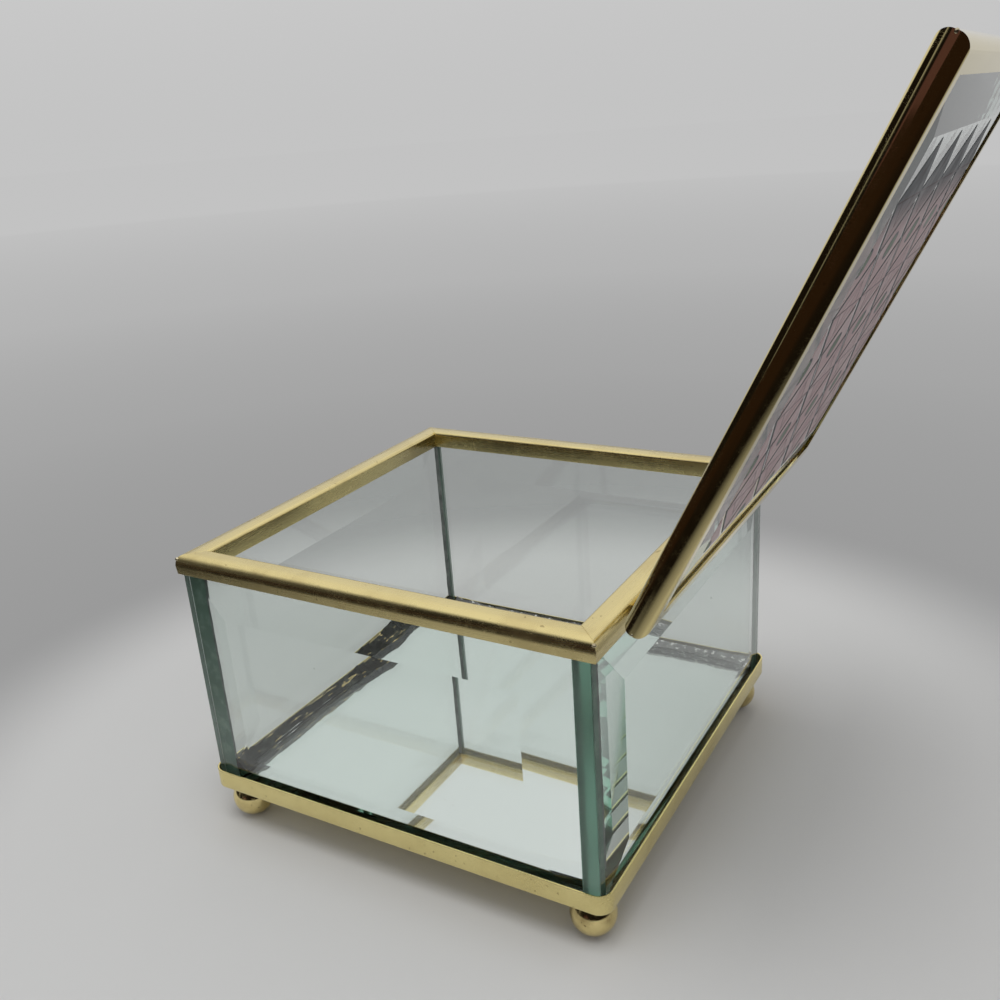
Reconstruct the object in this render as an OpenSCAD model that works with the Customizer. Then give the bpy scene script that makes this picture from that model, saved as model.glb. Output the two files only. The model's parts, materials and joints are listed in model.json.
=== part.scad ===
// Square glass keepsake box: bevelled panes in brass channels, a mirrored floor, ball feet and a hinged glass lid.
// Millimetres, +Z up. It stands on Z = 0 with the hinge at the rear (+Y), and is drawn with the lid leaning open.

/* [Box] */
// Outer side of the square brass rim
rim_side = 100.6; // [70:0.1:160]
// Height from the underside of the base to the top of the rim
wall_height = 59.1; // [36:0.1:110]
// How far each side of the base stands out past the rim
base_overhang = 0.5; // [0.3:0.1:2]
// Height of the band round the base
base_band = 4.7; // [3:0.1:8]
// Outer radius of the base's corners
base_corner = 3.2; // [1:0.1:3.4]

/* [Brass sheet] */
// Thickness of the sheet that the channels and the base are bent from
sheet = 0.4; // [0.3:0.05:0.45]
// Outer radius of the rim channel's bent edges
channel_bend = 0.6; // [0.5:0.05:0.9]
// Outer radius of the lid channel's rounder edges
lid_bend = 1.9; // [0.6:0.1:1.9]
// Depth of the rim channel's flanges
rim_flange = 4.3; // [3:0.1:8]
// Width of the lid channel's flanges
lid_flange = 4.4; // [3:0.1:8]
// Radius of the solder dots at the outer corners
dot_radius = 0.6; // [0.4:0.05:1]

/* [Glass walls] */
// Full thickness of a wall pane
wall_glass = 4.8; // [4.7:0.1:8]
// Thickness left at a wall pane's bevelled edges
wall_edge = 3.7; // [2.5:0.1:4.6]
// Width of the bevel at a wall pane's ends
bevel_end = 11.3; // [5:0.1:16]
// Width of the bevel along a wall pane's top
bevel_top = 13; // [5:0.1:16]
// Width of the bevel along a wall pane's foot
bevel_foot = 9.6; // [4:0.1:12]
// How far a pane's showing end stays inside the rim's outer face
end_inset = 0.6; // [0.2:0.1:1.2]
// Thickness of the glue line where a pane's end meets its neighbour
seam = 0.05; // [0.02:0.01:0.2]

/* [Floor] */
// Thickness of the mirror's glass
mirror_glass = 3; // [2:0.1:5]
// Thickness of the silvering and paint under the mirror
silvering = 0.1; // [0.05:0.01:0.2]
// Thickness of the thin board under the mirror
board = 0.9; // [0.5:0.1:3]
// Gap round the mirror and its board
mirror_gap = 0.3; // [0.1:0.05:1]
// Leg of the glue beads where the walls meet the mirror
floor_bead = 2.6; // [1:0.1:4]
// Leg of the glue beads up the inner corners
corner_bead = 1; // [0.5:0.1:2]

/* [Feet] */
// Diameter of the brass ball feet
ball = 9.6; // [6:0.1:16]
// Diameter of the flat where a ball is soldered to the base
ball_seat = 2; // [1:0.1:3]
// Diameter of the small flat that a ball stands on
ball_flat = 1.5; // [0.8:0.1:2.5]
// Diameter of the solder round a ball's seat
ball_solder = 4.4; // [3.2:0.1:5.8]
// From the side of the base to a ball's centre
foot_inset = 5.9; // [4.9:0.1:20]

/* [Lid] */
// Width of the lid across the hinge
lid_width = 101.2; // [70:0.1:162]
// Length of the lid from its hinge edge to its free edge
lid_length = 97.6; // [68:0.1:160]
// Full thickness of the lid's glass
lid_glass = 4; // [3.4:0.1:6]
// Thickness left at the lid glass's bevelled edges
lid_edge = 3; // [2:0.1:3.3]
// Width of the bevel round the lid's glass
lid_bevel = 11.2; // [5:0.1:16]
// Gap between the lid's glass and the round inside its channel's edges
lid_glass_gap = 0.1; // [0.05:0.05:0.6]
// Thickness of the printed layer on the lid's glass
print_layer = 0.1; // [0.05:0.01:0.3]
// Plain border between the bevel and the printed layer
print_border = 0.5; // [0:0.1:5]
// Gap between the shut lid and the rim
lid_gap = 0.1; // [0.05:0.05:0.5]
// How far the lid leans open, in degrees
lid_open = 116; // [95:1:125]

/* [Hinge] */
// Outer diameter of the hinge tube
tube_diameter = 3.5; // [3:0.1:5]
// Length of the hinge tube
tube_length = 66; // [30:1:68]
// Diameter of the hinge wire
wire = 1.6; // [1.2:0.1:2]
// Radial clearance between the wire and the tube's bore
wire_clearance = 0.05; // [0.02:0.01:0.09]
// Gap between a tube end and the wire's bend
wire_end_play = 0.2; // [0.1:0.05:1]
// Radius of the wire's bends, to its centre line
wire_bend = 1.2; // [1.05:0.05:1.25]
// How far the hinge axis lies below the top of the rim
hinge_drop = 0.57; // [0.3:0.01:1]
// How far the shut lid's hinge edge stays inside the rim's rear face
lid_setback = 3.47; // [2.5:0.01:6]
// Gap between the tube and the rim, filled with solder
tube_gap = 0.05; // [0.02:0.01:0.2]

/* [Hidden] */
$fn = 64;

// Clearance between a pane and the flange beside it, and the room on the bevel's side of a channel
flange_gap = 0.1;
rim_room = 0.57;
lid_room = 0.243;

// Glass thickness at the mouth of the rim channel and of the lid channel
rim_mouth = wall_edge + (wall_glass - wall_edge) * (rim_flange - sheet) / bevel_top;
lid_mouth = lid_edge + (lid_glass - lid_edge) * (lid_flange - sheet) / lid_bevel;
rim_width = 2 * sheet + flange_gap + rim_mouth + rim_room;
lid_thick = 2 * sheet + flange_gap + lid_mouth + lid_room;

// From the lid's outer edge to its glass, where the glass clears the round inside the channel
lid_round = lid_bend - sheet;
lid_inset = lid_bend - sqrt(pow(lid_round, 2) - pow(lid_round - flange_gap, 2)) + lid_glass_gap;

rim_half = rim_side / 2;
base_half = rim_half + base_overhang;
inner_half = rim_half - rim_width + sheet + flange_gap;
// Where a pane's end shows, and where it meets its neighbour's inner face
pane_reach = rim_half - end_inset;
pane_butt = inner_half - seam;
pane_foot = sheet;
pane_top = wall_height - channel_bend;

mirror_half = inner_half - mirror_gap;
silver_foot = sheet + board;
mirror_foot = silver_foot + silvering;
mirror_top = mirror_foot + mirror_glass;

// A ball's centre, seat and standing flat, below the base
ball_r = ball / 2;
ball_drop = sqrt(pow(ball_r, 2) - pow(ball_seat / 2, 2));
ball_reach = sqrt(pow(ball_r, 2) - pow(ball_flat / 2, 2));
stand = ball_drop + ball_reach;
// Where the collar's cone touches the ball, and where it runs out under the base
touch_r = (ball_seat + ball_solder) * 0.28;
touch_slope = touch_r / sqrt(pow(ball_r, 2) - pow(touch_r, 2));
collar_in = touch_r - (ball_drop - sqrt(pow(ball_r, 2) - pow(touch_r, 2))) / touch_slope;
foot_at = base_half - foot_inset;

// The hinge axis, and the shut lid round it
tube_r = tube_diameter / 2;
wire_r = wire / 2;
axis_y = rim_half + tube_gap + tube_r;
axis_z = wall_height - hinge_drop;
lid_foot = wall_height + lid_gap;
lid_rear = rim_half - lid_setback;
lid_mid = lid_rear - lid_length / 2;
leg_x = tube_length / 2 + wire_end_play + wire_bend;
leg_up = lid_foot + lid_thick / 2 - axis_z;
leg_reach = axis_y - lid_rear;
// The solder in the nook under the tube, and the collar at each wire end, wider at its foot
nook_wide = tube_r / 2;
nook_high = 0.9 * tube_r;
collar_foot = 1.4 * wire_r;
collar_top = 1.15 * wire_r;
collar_long = 1.5 * wire_r;

// The open lid's rearmost point, which sets the middle of the part's depth
dot_in = dot_radius / 4;
dot_down = dot_radius + 0.05;
free_y = leg_reach + lid_length;
free_z = lid_foot + lid_thick - axis_z;
edge_tip = (free_y - lid_bend) * -cos(lid_open) + (free_z - lid_bend) * sin(lid_open) + lid_bend;
dot_tip = (free_y - dot_in) * -cos(lid_open) + leg_up * sin(lid_open) + dot_radius;
rear_tip = axis_y + max(edge_tip, dot_tip);
middle_y = (rear_tip - base_half) / 2;

brass = [0.83, 0.72, 0.42];
solder = [0.78, 0.74, 0.62];
clear_glass = [0.72, 0.84, 0.80, 0.5];

// Puts a piece of the box in the part's frame
module placed() translate([0, -middle_y, stand]) children();

// Puts a piece of the lid, drawn shut, in the part's frame with the lid leaning open
module leaning()
  placed()
    translate([0, axis_y, axis_z])
      rotate([-lid_open, 0, 0])
        translate([0, -axis_y, -axis_z])
          children();

// Runs a section drawn as (depth, height) along X
module along_x(length) rotate([90, 0, 90]) linear_extrude(length) children();

module rounded_square(side, radius) {
  square([side, side - 2 * radius], center = true);
  square([side - 2 * radius, side], center = true);
  for (x = [-1, 1], y = [-1, 1])
    translate([x * (side / 2 - radius), y * (side / 2 - radius)])
      circle(radius);
}

// A bar's section with its top edges rounded
module soft_top(width, depth, radius) {
  translate([0, -depth]) square([width, depth - radius]);
  translate([radius, -depth]) square([width - 2 * radius, depth]);
  for (x = [radius, width - radius])
    translate([x, -radius]) circle(radius);
}

// A channel's section: web on top, flanges hanging down
module channel_section(width, depth, bend)
  difference() {
    soft_top(width, depth, bend);
    translate([sheet, -sheet])
      soft_top(width - 2 * sheet, depth, bend - sheet);
  }

// Plan of a strip with mitred ends, its outer edge on Y = 0
module mitred_plan(length, width)
  polygon([[-length / 2, 0], [length / 2, 0], [length / 2 - width, width], [width - length / 2, width]]);

// A wall pane, first drawn at the front, from x0 to x1 along its length
module wall_pane(turn, x0, x1) {
  flat = -inner_half;
  thin = flat - wall_edge;
  full = flat - wall_glass;
  rotate([0, 0, 90 * turn])
    intersection() {
      translate([0, 0, pane_foot])
        linear_extrude(pane_top - pane_foot)
          polygon([[x0, flat], [x0, thin], [x0 + bevel_end, full], [x1 - bevel_end, full], [x1, thin], [x1, flat]]);
      translate([x0 - 1, 0, 0])
        along_x(x1 - x0 + 2)
          polygon([
            [flat + 1, pane_foot], [flat + 1, pane_top], [flat, pane_top], [thin, pane_top],
            [full, pane_top - bevel_top], [full, pane_foot + bevel_foot], [thin, pane_foot]
          ]);
    }
}

module rim_channel(turn)
  rotate([0, 0, 90 * turn])
    intersection() {
      translate([-rim_half, -rim_half, wall_height])
        along_x(rim_side) channel_section(rim_width, rim_flange, channel_bend);
      translate([0, -rim_half, wall_height - rim_flange - 1])
        linear_extrude(rim_flange + 2) mitred_plan(rim_side, rim_width);
    }

module lid_channel(turn, length, across)
  translate([0, lid_mid, lid_foot])
    rotate([0, 0, 90 * turn])
      translate([0, -across / 2, 0])
        intersection() {
          translate([-length / 2, 0, 0])
            along_x(length) rotate(90) channel_section(lid_thick, lid_flange, lid_bend);
          translate([0, 0, -1])
            linear_extrude(lid_thick + 2) mitred_plan(length, lid_flange);
        }

// Solder dots on the outside of a frame's four corners, at the given height
module corner_dots(width, depth, height)
  difference() {
    for (x = [-1, 1], y = [-1, 1])
      translate([x * (width / 2 - dot_in), y * (depth / 2 - dot_in), height])
        sphere(dot_radius);
    translate([-width / 2, -depth / 2, height - 2 * dot_radius])
      cube([width, depth, 4 * dot_radius]);
  }

module ball_foot(x, y)
  translate([x * foot_at, y * foot_at, -ball_drop])
    intersection() {
      sphere(ball_r);
      translate([0, 0, (ball_drop - ball_reach) / 2])
        cube([ball + 1, ball + 1, ball_drop + ball_reach], center = true);
    }

// Pieces of the box

module base_tray()
  color(brass) placed()
    difference() {
      linear_extrude(base_band) rounded_square(2 * base_half, base_corner);
      translate([0, 0, sheet])
        linear_extrude(base_band) rounded_square(2 * (base_half - sheet), base_corner - sheet);
    }

module floor_board()
  color([0.55, 0.5, 0.44]) placed()
    translate([-mirror_half, -mirror_half, sheet])
      cube([2 * mirror_half, 2 * mirror_half, board]);

module mirror_silvering()
  color([0.75, 0.76, 0.78]) placed()
    translate([-mirror_half, -mirror_half, silver_foot])
      cube([2 * mirror_half, 2 * mirror_half, silvering]);

module mirror_plate()
  color(clear_glass) placed()
    translate([-mirror_half, -mirror_half, mirror_foot])
      cube([2 * mirror_half, 2 * mirror_half, mirror_glass]);

module front_pane() color(clear_glass) placed() wall_pane(0, -pane_reach, pane_butt);
module right_pane() color(clear_glass) placed() wall_pane(1, -pane_reach, pane_butt);
module rear_pane() color(clear_glass) placed() wall_pane(2, -pane_reach, pane_reach);
module left_pane() color(clear_glass) placed() wall_pane(3, -pane_butt, pane_butt);

module rim_channel_front() color(brass) placed() rim_channel(0);
module rim_channel_right() color(brass) placed() rim_channel(1);
module rim_channel_rear() color(brass) placed() rim_channel(2);
module rim_channel_left() color(brass) placed() rim_channel(3);

module rim_solder_dots()
  color(solder) placed() corner_dots(rim_side, rim_side, wall_height - dot_down);

module floor_bead_front()
  color([0.3, 0.3, 0.28]) placed()
    translate([-inner_half, -inner_half, mirror_top])
      along_x(2 * inner_half)
        polygon([[0, 0], [floor_bead, 0], [0, floor_bead]]);

module floor_bead_left()
  color([0.5, 0.5, 0.5]) placed()
    translate([-inner_half, inner_half, mirror_top])
      rotate([90, 0, 0])
        linear_extrude(2 * inner_half - floor_bead)
          polygon([[0, 0], [floor_bead, 0], [0, floor_bead]]);

module corner_beads()
  color([0.35, 0.37, 0.36]) placed()
    for (turn = [0:3])
      rotate([0, 0, 90 * turn])
        translate([-inner_half, -inner_half, mirror_top + floor_bead])
          linear_extrude(wall_height - rim_flange - flange_gap - mirror_top - floor_bead)
            polygon([[0, 0], [corner_bead, 0], [0, corner_bead]]);

module foot_front_left() color(brass) placed() ball_foot(-1, -1);
module foot_front_right() color(brass) placed() ball_foot(1, -1);
module foot_rear_right() color(brass) placed() ball_foot(1, 1);
module foot_rear_left() color(brass) placed() ball_foot(-1, 1);

// A collar of solder round each ball's seat, its inside a cone that just touches the ball
module foot_solder()
  color(solder) placed()
    for (x = [-1, 1], y = [-1, 1])
      translate([x * foot_at, y * foot_at, 0])
        rotate_extrude($fn = 180)
          polygon([[collar_in, 0], [ball_solder / 2, 0], [ball_solder / 2, -(ball_solder / 2 - collar_in) * touch_slope]]);

module hinge_tube()
  color(brass) placed()
    translate([0, axis_y, axis_z])
      rotate([0, 90, 0])
        difference() {
          cylinder(r = tube_r, h = tube_length, center = true);
          cylinder(r = wire_r + wire_clearance, h = tube_length + 2, center = true);
        }

// A solder seam in the nook under the tube
module hinge_tube_solder()
  color(solder) placed()
    translate([-tube_length / 2, rim_half, axis_z])
      along_x(tube_length)
        difference() {
          translate([0, -nook_high]) square([nook_wide, nook_high]);
          translate([tube_gap + tube_r, 0]) circle(tube_r);
        }

// Pieces of the lid

module lid_channel_front() color(brass) leaning() lid_channel(0, lid_width, lid_length);
module lid_channel_right() color(brass) leaning() lid_channel(1, lid_length, lid_width);
module lid_channel_rear() color(brass) leaning() lid_channel(2, lid_width, lid_length);
module lid_channel_left() color(brass) leaning() lid_channel(3, lid_length, lid_width);

module lid_solder_dots()
  color(solder) leaning()
    translate([0, lid_mid, 0])
      corner_dots(lid_width, lid_length, lid_foot + lid_thick / 2);

module lid_pane() {
  x = lid_width / 2 - lid_inset;
  y = lid_length / 2 - lid_inset;
  foot = lid_foot + sheet + flange_gap;
  color(clear_glass) leaning()
    translate([0, lid_mid, foot])
      intersection() {
        translate([-x - 1, 0, 0])
          along_x(2 * x + 2)
            polygon([[-y, 0], [y, 0], [y, lid_edge], [y - lid_bevel, lid_glass], [lid_bevel - y, lid_glass], [-y, lid_edge]]);
        translate([0, y + 1, 0])
          rotate([90, 0, 0])
            linear_extrude(2 * y + 2)
              polygon([[-x, 0], [x, 0], [x, lid_edge], [x - lid_bevel, lid_glass], [lid_bevel - x, lid_glass], [-x, lid_edge]]);
      }
}

module lid_print() {
  x = lid_width / 2 - lid_inset - lid_bevel - print_border;
  y = lid_length / 2 - lid_inset - lid_bevel - print_border;
  color([0.85, 0.62, 0.66]) leaning()
    translate([-x, lid_mid - y, lid_foot + sheet + flange_gap + lid_glass])
      cube([2 * x, 2 * y, print_layer]);
}

// A quarter bend of the wire, from +Z round to +X, about its own centre
module quarter_bend()
  rotate([90, 0, 0])
    rotate_extrude(angle = 90) translate([wire_bend, 0]) circle(wire_r);

module hinge_wire()
  color([0.86, 0.75, 0.46]) leaning()
    translate([0, axis_y, axis_z]) {
      rotate([0, 90, 0]) cylinder(r = wire_r, h = 2 * (leg_x - wire_bend), center = true);
      for (side = [-1, 1]) {
        translate([side * (leg_x - wire_bend), 0, wire_bend])
          rotate([0, 135 - 45 * side, 0]) quarter_bend();
        translate([side * leg_x, 0, wire_bend])
          cylinder(r = wire_r, h = leg_up - 2 * wire_bend);
        // Lies inside the bend and the leg, and joins them
        translate([side * leg_x, 0, wire_bend])
          sphere(wire_r);
        translate([side * leg_x, -wire_bend, leg_up - wire_bend])
          rotate([0, 0, 90]) quarter_bend();
        translate([side * leg_x, -wire_bend, leg_up])
          rotate([90, 0, 0]) cylinder(r = wire_r, h = leg_reach - wire_bend);
      }
    }

// A collar of solder where each end of the wire meets the lid's rear channel
module hinge_wire_solder()
  color(solder) leaning()
    for (side = [-1, 1])
      translate([side * leg_x, lid_rear, axis_z + leg_up])
        rotate([-90, 0, 0])
          difference() {
            cylinder(r1 = collar_foot, r2 = collar_top, h = collar_long);
            translate([0, 0, -1]) cylinder(r = wire_r, h = collar_long + 2);
          }

base_tray();
floor_board();
mirror_silvering();
mirror_plate();
front_pane();
right_pane();
rear_pane();
left_pane();
rim_channel_front();
rim_channel_right();
rim_channel_rear();
rim_channel_left();
rim_solder_dots();
floor_bead_front();
floor_bead_left();
corner_beads();
foot_front_left();
foot_front_right();
foot_rear_right();
foot_rear_left();
foot_solder();
hinge_tube();
hinge_tube_solder();
lid_channel_front();
lid_channel_right();
lid_channel_rear();
lid_channel_left();
lid_solder_dots();
lid_pane();
lid_print();
hinge_wire();
hinge_wire_solder();
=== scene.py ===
import json
import math

import bmesh
import bpy
from mathutils import Matrix, Quaternion, Vector, noise


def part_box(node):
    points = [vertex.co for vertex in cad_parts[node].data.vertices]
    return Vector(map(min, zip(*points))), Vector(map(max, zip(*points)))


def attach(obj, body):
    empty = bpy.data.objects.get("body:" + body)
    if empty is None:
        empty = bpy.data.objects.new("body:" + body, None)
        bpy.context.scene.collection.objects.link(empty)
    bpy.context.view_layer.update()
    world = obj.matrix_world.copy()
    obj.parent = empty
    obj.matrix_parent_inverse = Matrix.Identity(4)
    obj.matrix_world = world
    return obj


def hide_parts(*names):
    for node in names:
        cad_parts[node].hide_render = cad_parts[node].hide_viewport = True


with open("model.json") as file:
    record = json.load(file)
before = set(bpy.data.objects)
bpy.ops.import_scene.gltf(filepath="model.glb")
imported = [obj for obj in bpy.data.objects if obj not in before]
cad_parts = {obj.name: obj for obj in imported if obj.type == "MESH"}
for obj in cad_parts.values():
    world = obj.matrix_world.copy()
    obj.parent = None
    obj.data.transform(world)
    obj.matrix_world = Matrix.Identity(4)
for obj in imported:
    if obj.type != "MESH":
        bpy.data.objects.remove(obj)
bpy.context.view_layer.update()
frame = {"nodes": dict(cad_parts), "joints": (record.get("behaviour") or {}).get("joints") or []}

mm = 0.001
overlap = 0.02 * mm  # how far glue and layers reach into their neighbours, so no air shows between them
nodes = frame["nodes"]
trayLow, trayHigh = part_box("base_tray")
# on the floor, under the middle of the box
middle = Vector(((trayLow.x + trayHigh.x) / 2, (trayLow.y + trayHigh.y) / 2, 0))
print("frame loaded:", len(nodes), "nodes")


# node trees

def addNode(tree, kind, inputs=None, **settings):
    made = tree.nodes.new("ShaderNode" + kind)
    for key, value in settings.items():
        setattr(made, key, value)
    for key, value in (inputs or {}).items():
        if isinstance(value, bpy.types.NodeSocket):
            tree.links.new(value, made.inputs[key])
        else:
            made.inputs[key].default_value = value
    return made


def bandNode(tree, value, centre, half):
    away = mathNode(tree, "ABSOLUTE", mathNode(tree, "SUBTRACT", value, centre))
    return mathNode(tree, "LESS_THAN", away, half)


def mathNode(tree, operation, a, b=0.0):
    return addNode(tree, "Math", {0: a, 1: b}, operation=operation).outputs[0]


def vectorNode(tree, operation, a, b=(0.0, 0.0, 0.0)):
    return addNode(tree, "VectorMath", {0: a, 1: b}, operation=operation).outputs["Vector"]


def measureNode(tree, operation, a, b=(0.0, 0.0, 0.0)):
    return addNode(tree, "VectorMath", {0: a, 1: b}, operation=operation).outputs["Value"]


def noiseNode(tree, place, scale, detail, roughness=0.5, twist=0.0):
    return addNode(tree, "TexNoise", {"Vector": place, "Scale": scale, "Detail": detail,
                                      "Roughness": roughness, "Distortion": twist}).outputs[0]


def rangeNode(tree, value, low, high, toLow=0.0, toHigh=1.0, curve="SMOOTHSTEP"):
    made = addNode(tree, "MapRange", {"Value": value, "From Min": low, "From Max": high,
                                      "To Min": toLow, "To Max": toHigh}, interpolation_type=curve)
    return made.outputs["Result"]


def mixColor(tree, factor, a, b):
    return addNode(tree, "Mix", {0: factor, 6: a, 7: b}, data_type="RGBA").outputs[2]


def rampNode(tree, value, stops, curve="LINEAR"):
    made = addNode(tree, "ValToRGB", {0: value})
    made.color_ramp.interpolation = curve
    steps = made.color_ramp.elements
    while len(steps) < len(stops):
        steps.new(0.5)
    for step, (place, tone) in zip(steps, stops):
        step.position = place
        step.color = (tone, tone, tone, 1)
    return made.outputs[0]


def startGroup(name, takes, gives):
    group = bpy.data.node_groups.new(name, "ShaderNodeTree")
    for label, kind, start in takes:
        socket = group.interface.new_socket(label, in_out="INPUT", socket_type="NodeSocket" + kind)
        if start is not None:
            socket.default_value = start
    for label, kind in gives:
        group.interface.new_socket(label, in_out="OUTPUT", socket_type="NodeSocket" + kind)
    return group, group.nodes.new("NodeGroupInput").outputs, group.nodes.new("NodeGroupOutput").inputs


def useGroup(tree, group, **inputs):
    made = tree.nodes.new("ShaderNodeGroup")
    made.node_tree = group
    for key, value in inputs.items():
        if isinstance(value, bpy.types.NodeSocket):
            tree.links.new(value, made.inputs[key])
        else:
            made.inputs[key].default_value = value
    return made.outputs


# camera

view = {
    "place": (0.190065, 0.118711, 0.154243),  # from the middle of the box, on the floor
    "turn": (0.428929, 0.259984, 0.50567, 0.701945),
    "lens": 37.207,
}
scene = bpy.context.scene
camera = bpy.data.objects.new("camera", bpy.data.cameras.new("camera"))
camera.location = middle + Vector(view["place"])
camera.rotation_mode = "QUATERNION"
camera.rotation_quaternion = Quaternion(view["turn"])
camera.data.lens = view["lens"]
camera.data.sensor_width = 36
camera.data.clip_start = 0.01
camera.data.clip_end = 50
scene.collection.objects.link(camera)
scene.camera = camera
scene.view_settings.view_transform = "Standard"
scene.cycles.max_bounces = 40
scene.cycles.glossy_bounces = 28
scene.cycles.transmission_bounces = 32
print("camera ready")

# studio: a pale floor, a pale backdrop and soft light; the floor's far part glows with painted shade tones,
# and polished faces see the floor as a painted dark reflection

studio = {
    "reach": 6.0,
    "poolColor": (0.68, 0.68, 0.675),
    "poolDark": 0.98,
    "poolEdge": (0.118, 0.178),
    # painted shade: past the pool the floor glows in greys, darker near the box, in place of its shading
    "farGlowShadeTones": [(0.0, 0.30), (0.1, 0.325), (0.2, 0.37), (0.4, 0.455), (0.95, 0.54), (1.0, 0.545)],
    "farScale": 2.0,
    "skyTones": [(0.0, 0.545), (0.12, 0.575), (0.3, 0.66), (0.55, 0.79), (1.0, 0.90)],
    "glossLift": 1.08,
    "fill": 0.50,
    "keyPower": 6.2,
    "keySize": 0.8,
    "keyPlace": (0.22, 0.12, 1.3),
    "cameraSide": (0.86, 0.51, 0.0),
    "darkSide": (0.15, -0.988, 0.0),
    "sideWindow": (-0.05, 0.4),
    "sideFloorWindow": (-0.2, 0.12),
    "highWindow": (0.42, 0.8),
    "darkWindow": (0.76, 0.86),
    "darkFloorWindow": (0.72, 0.84),
    "darkFloorReach": (0.3, 0.5),
    "darkTone": (0.008, 0.006, 0.005),
    "warmTone": (0.085, 0.040, 0.045),
    "warmSide": (0.985, -0.17, 0.03),
    "warmWindow": (0.968, 0.998),
    # the floor's painted dark reflection, slightly warm further out
    "warmFloorPaintedReflection": (0.020, 0.010, 0.006),
    "warmReach": (0.24, 0.42),
    # how much of the floor a polished face sees on the camera's side, by distance over a metre; past it
    # polished faces see the floor as a painted dark reflection
    "floorShow": [(0.0, 1.0), (0.115, 1.0), (0.130, 0.66), (0.160, 0.56), (0.185, 0.22), (0.205, 0.0)],
}


def buildWorld():
    world = bpy.data.worlds.new("studioLight")
    scene.world = world
    world.use_nodes = True
    tree = world.node_tree
    tree.nodes.clear()
    path = addNode(tree, "LightPath").outputs
    ray = addNode(tree, "TexCoord").outputs["Generated"]
    up = addNode(tree, "SeparateXYZ", {0: ray}).outputs["Z"]
    sky = rampNode(tree, up, studio["skyTones"], "B_SPLINE")
    toward = measureNode(tree, "DOT_PRODUCT", ray, studio["cameraSide"])
    side = rangeNode(tree, toward, *studio["sideWindow"])
    lift = rangeNode(tree, up, *studio["highWindow"], 1.0, 0.0)
    dark = mathNode(tree, "MULTIPLY", side, lift)
    front = measureNode(tree, "DOT_PRODUCT", ray, studio["darkSide"])
    dark = mathNode(tree, "MAXIMUM", dark, rangeNode(tree, front, *studio["darkWindow"]))
    warmFacing = measureNode(tree, "DOT_PRODUCT", ray, studio["warmSide"])
    warm = rangeNode(tree, warmFacing, *studio["warmWindow"])
    shade = mixColor(tree, warm, (*studio["darkTone"], 1), (*studio["warmTone"], 1))
    bright = vectorNode(tree, "MULTIPLY", sky, (studio["glossLift"],) * 3)
    gloss = mixColor(tree, dark, bright, shade)
    fill = (studio["fill"],) * 3 + (1,)
    light = mixColor(tree, path["Is Glossy Ray"], fill, gloss)
    seen = mathNode(tree, "MAXIMUM", path["Is Camera Ray"], path["Is Transmission Ray"])
    light = mixColor(tree, seen, light, sky)
    back = addNode(tree, "Background", {"Color": light})
    out = addNode(tree, "OutputWorld")
    tree.links.new(back.outputs[0], out.inputs[0])


def buildFloor():
    shape = bmesh.new()
    bmesh.ops.create_circle(shape, cap_ends=True, segments=96, radius=studio["reach"])
    mesh = bpy.data.meshes.new("floor")
    shape.to_mesh(mesh)
    shape.free()
    floor = bpy.data.objects.new("floor", mesh)
    scene.collection.objects.link(floor)
    material = bpy.data.materials.new("paleFloor")
    material.use_nodes = True
    tree = material.node_tree
    tree.nodes.clear()
    place = addNode(tree, "TexCoord").outputs["Object"]
    path = addNode(tree, "LightPath").outputs
    away = vectorNode(tree, "SUBTRACT", place, middle)
    reach = measureNode(tree, "LENGTH", away)
    grain = noiseNode(tree, place, 9.0, 3.0)
    worn = [studio["poolDark"] * tone for tone in studio["poolColor"]]
    paint = mixColor(tree, grain, (*worn, 1), (*studio["poolColor"], 1))
    near = addNode(tree, "BsdfDiffuse", {"Color": paint})
    share = mathNode(tree, "DIVIDE", reach, studio["farScale"])
    # past the pool the floor is not lit but glows with painted shade tones
    farGlow = addNode(tree, "Emission", {"Color": rampNode(tree, share, studio["farGlowShadeTones"], "B_SPLINE")})
    edge = rangeNode(tree, reach, *studio["poolEdge"])
    shown = addNode(tree, "MixShader", {0: edge, 1: near.outputs[0], 2: farGlow.outputs[0]})
    # painted reflection: to glossy rays the floor on the camera's side and out front becomes dark emission
    heading = vectorNode(tree, "NORMALIZE", away)
    facing = measureNode(tree, "DOT_PRODUCT", heading, studio["cameraSide"])
    paintedDarkShare = mathNode(tree, "SUBTRACT", 1.0, rampNode(tree, reach, studio["floorShow"]))
    front = measureNode(tree, "DOT_PRODUCT", heading, studio["darkSide"])
    front = mathNode(tree, "MULTIPLY", rangeNode(tree, front, *studio["darkFloorWindow"]),
                     rangeNode(tree, reach, *studio["darkFloorReach"]))
    paintedDarkShare = mathNode(tree, "MULTIPLY", paintedDarkShare, rangeNode(tree, facing, *studio["sideFloorWindow"]))
    paintedDarkShare = mathNode(tree, "MAXIMUM", paintedDarkShare, front)
    paintedDarkShare = mathNode(tree, "MULTIPLY", paintedDarkShare, path["Is Glossy Ray"])
    warm = rangeNode(tree, reach, *studio["warmReach"])
    tone = mixColor(tree, warm, (*studio["darkTone"], 1), (*studio["warmFloorPaintedReflection"], 1))
    # the dark emission polished faces see: a painted dark reflection
    dark = addNode(tree, "Emission", {"Color": tone})
    whole = addNode(tree, "MixShader", {0: paintedDarkShare, 1: shown.outputs[0], 2: dark.outputs[0]})
    out = addNode(tree, "OutputMaterial")
    tree.links.new(whole.outputs[0], out.inputs[0])
    mesh.materials.append(material)


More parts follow.
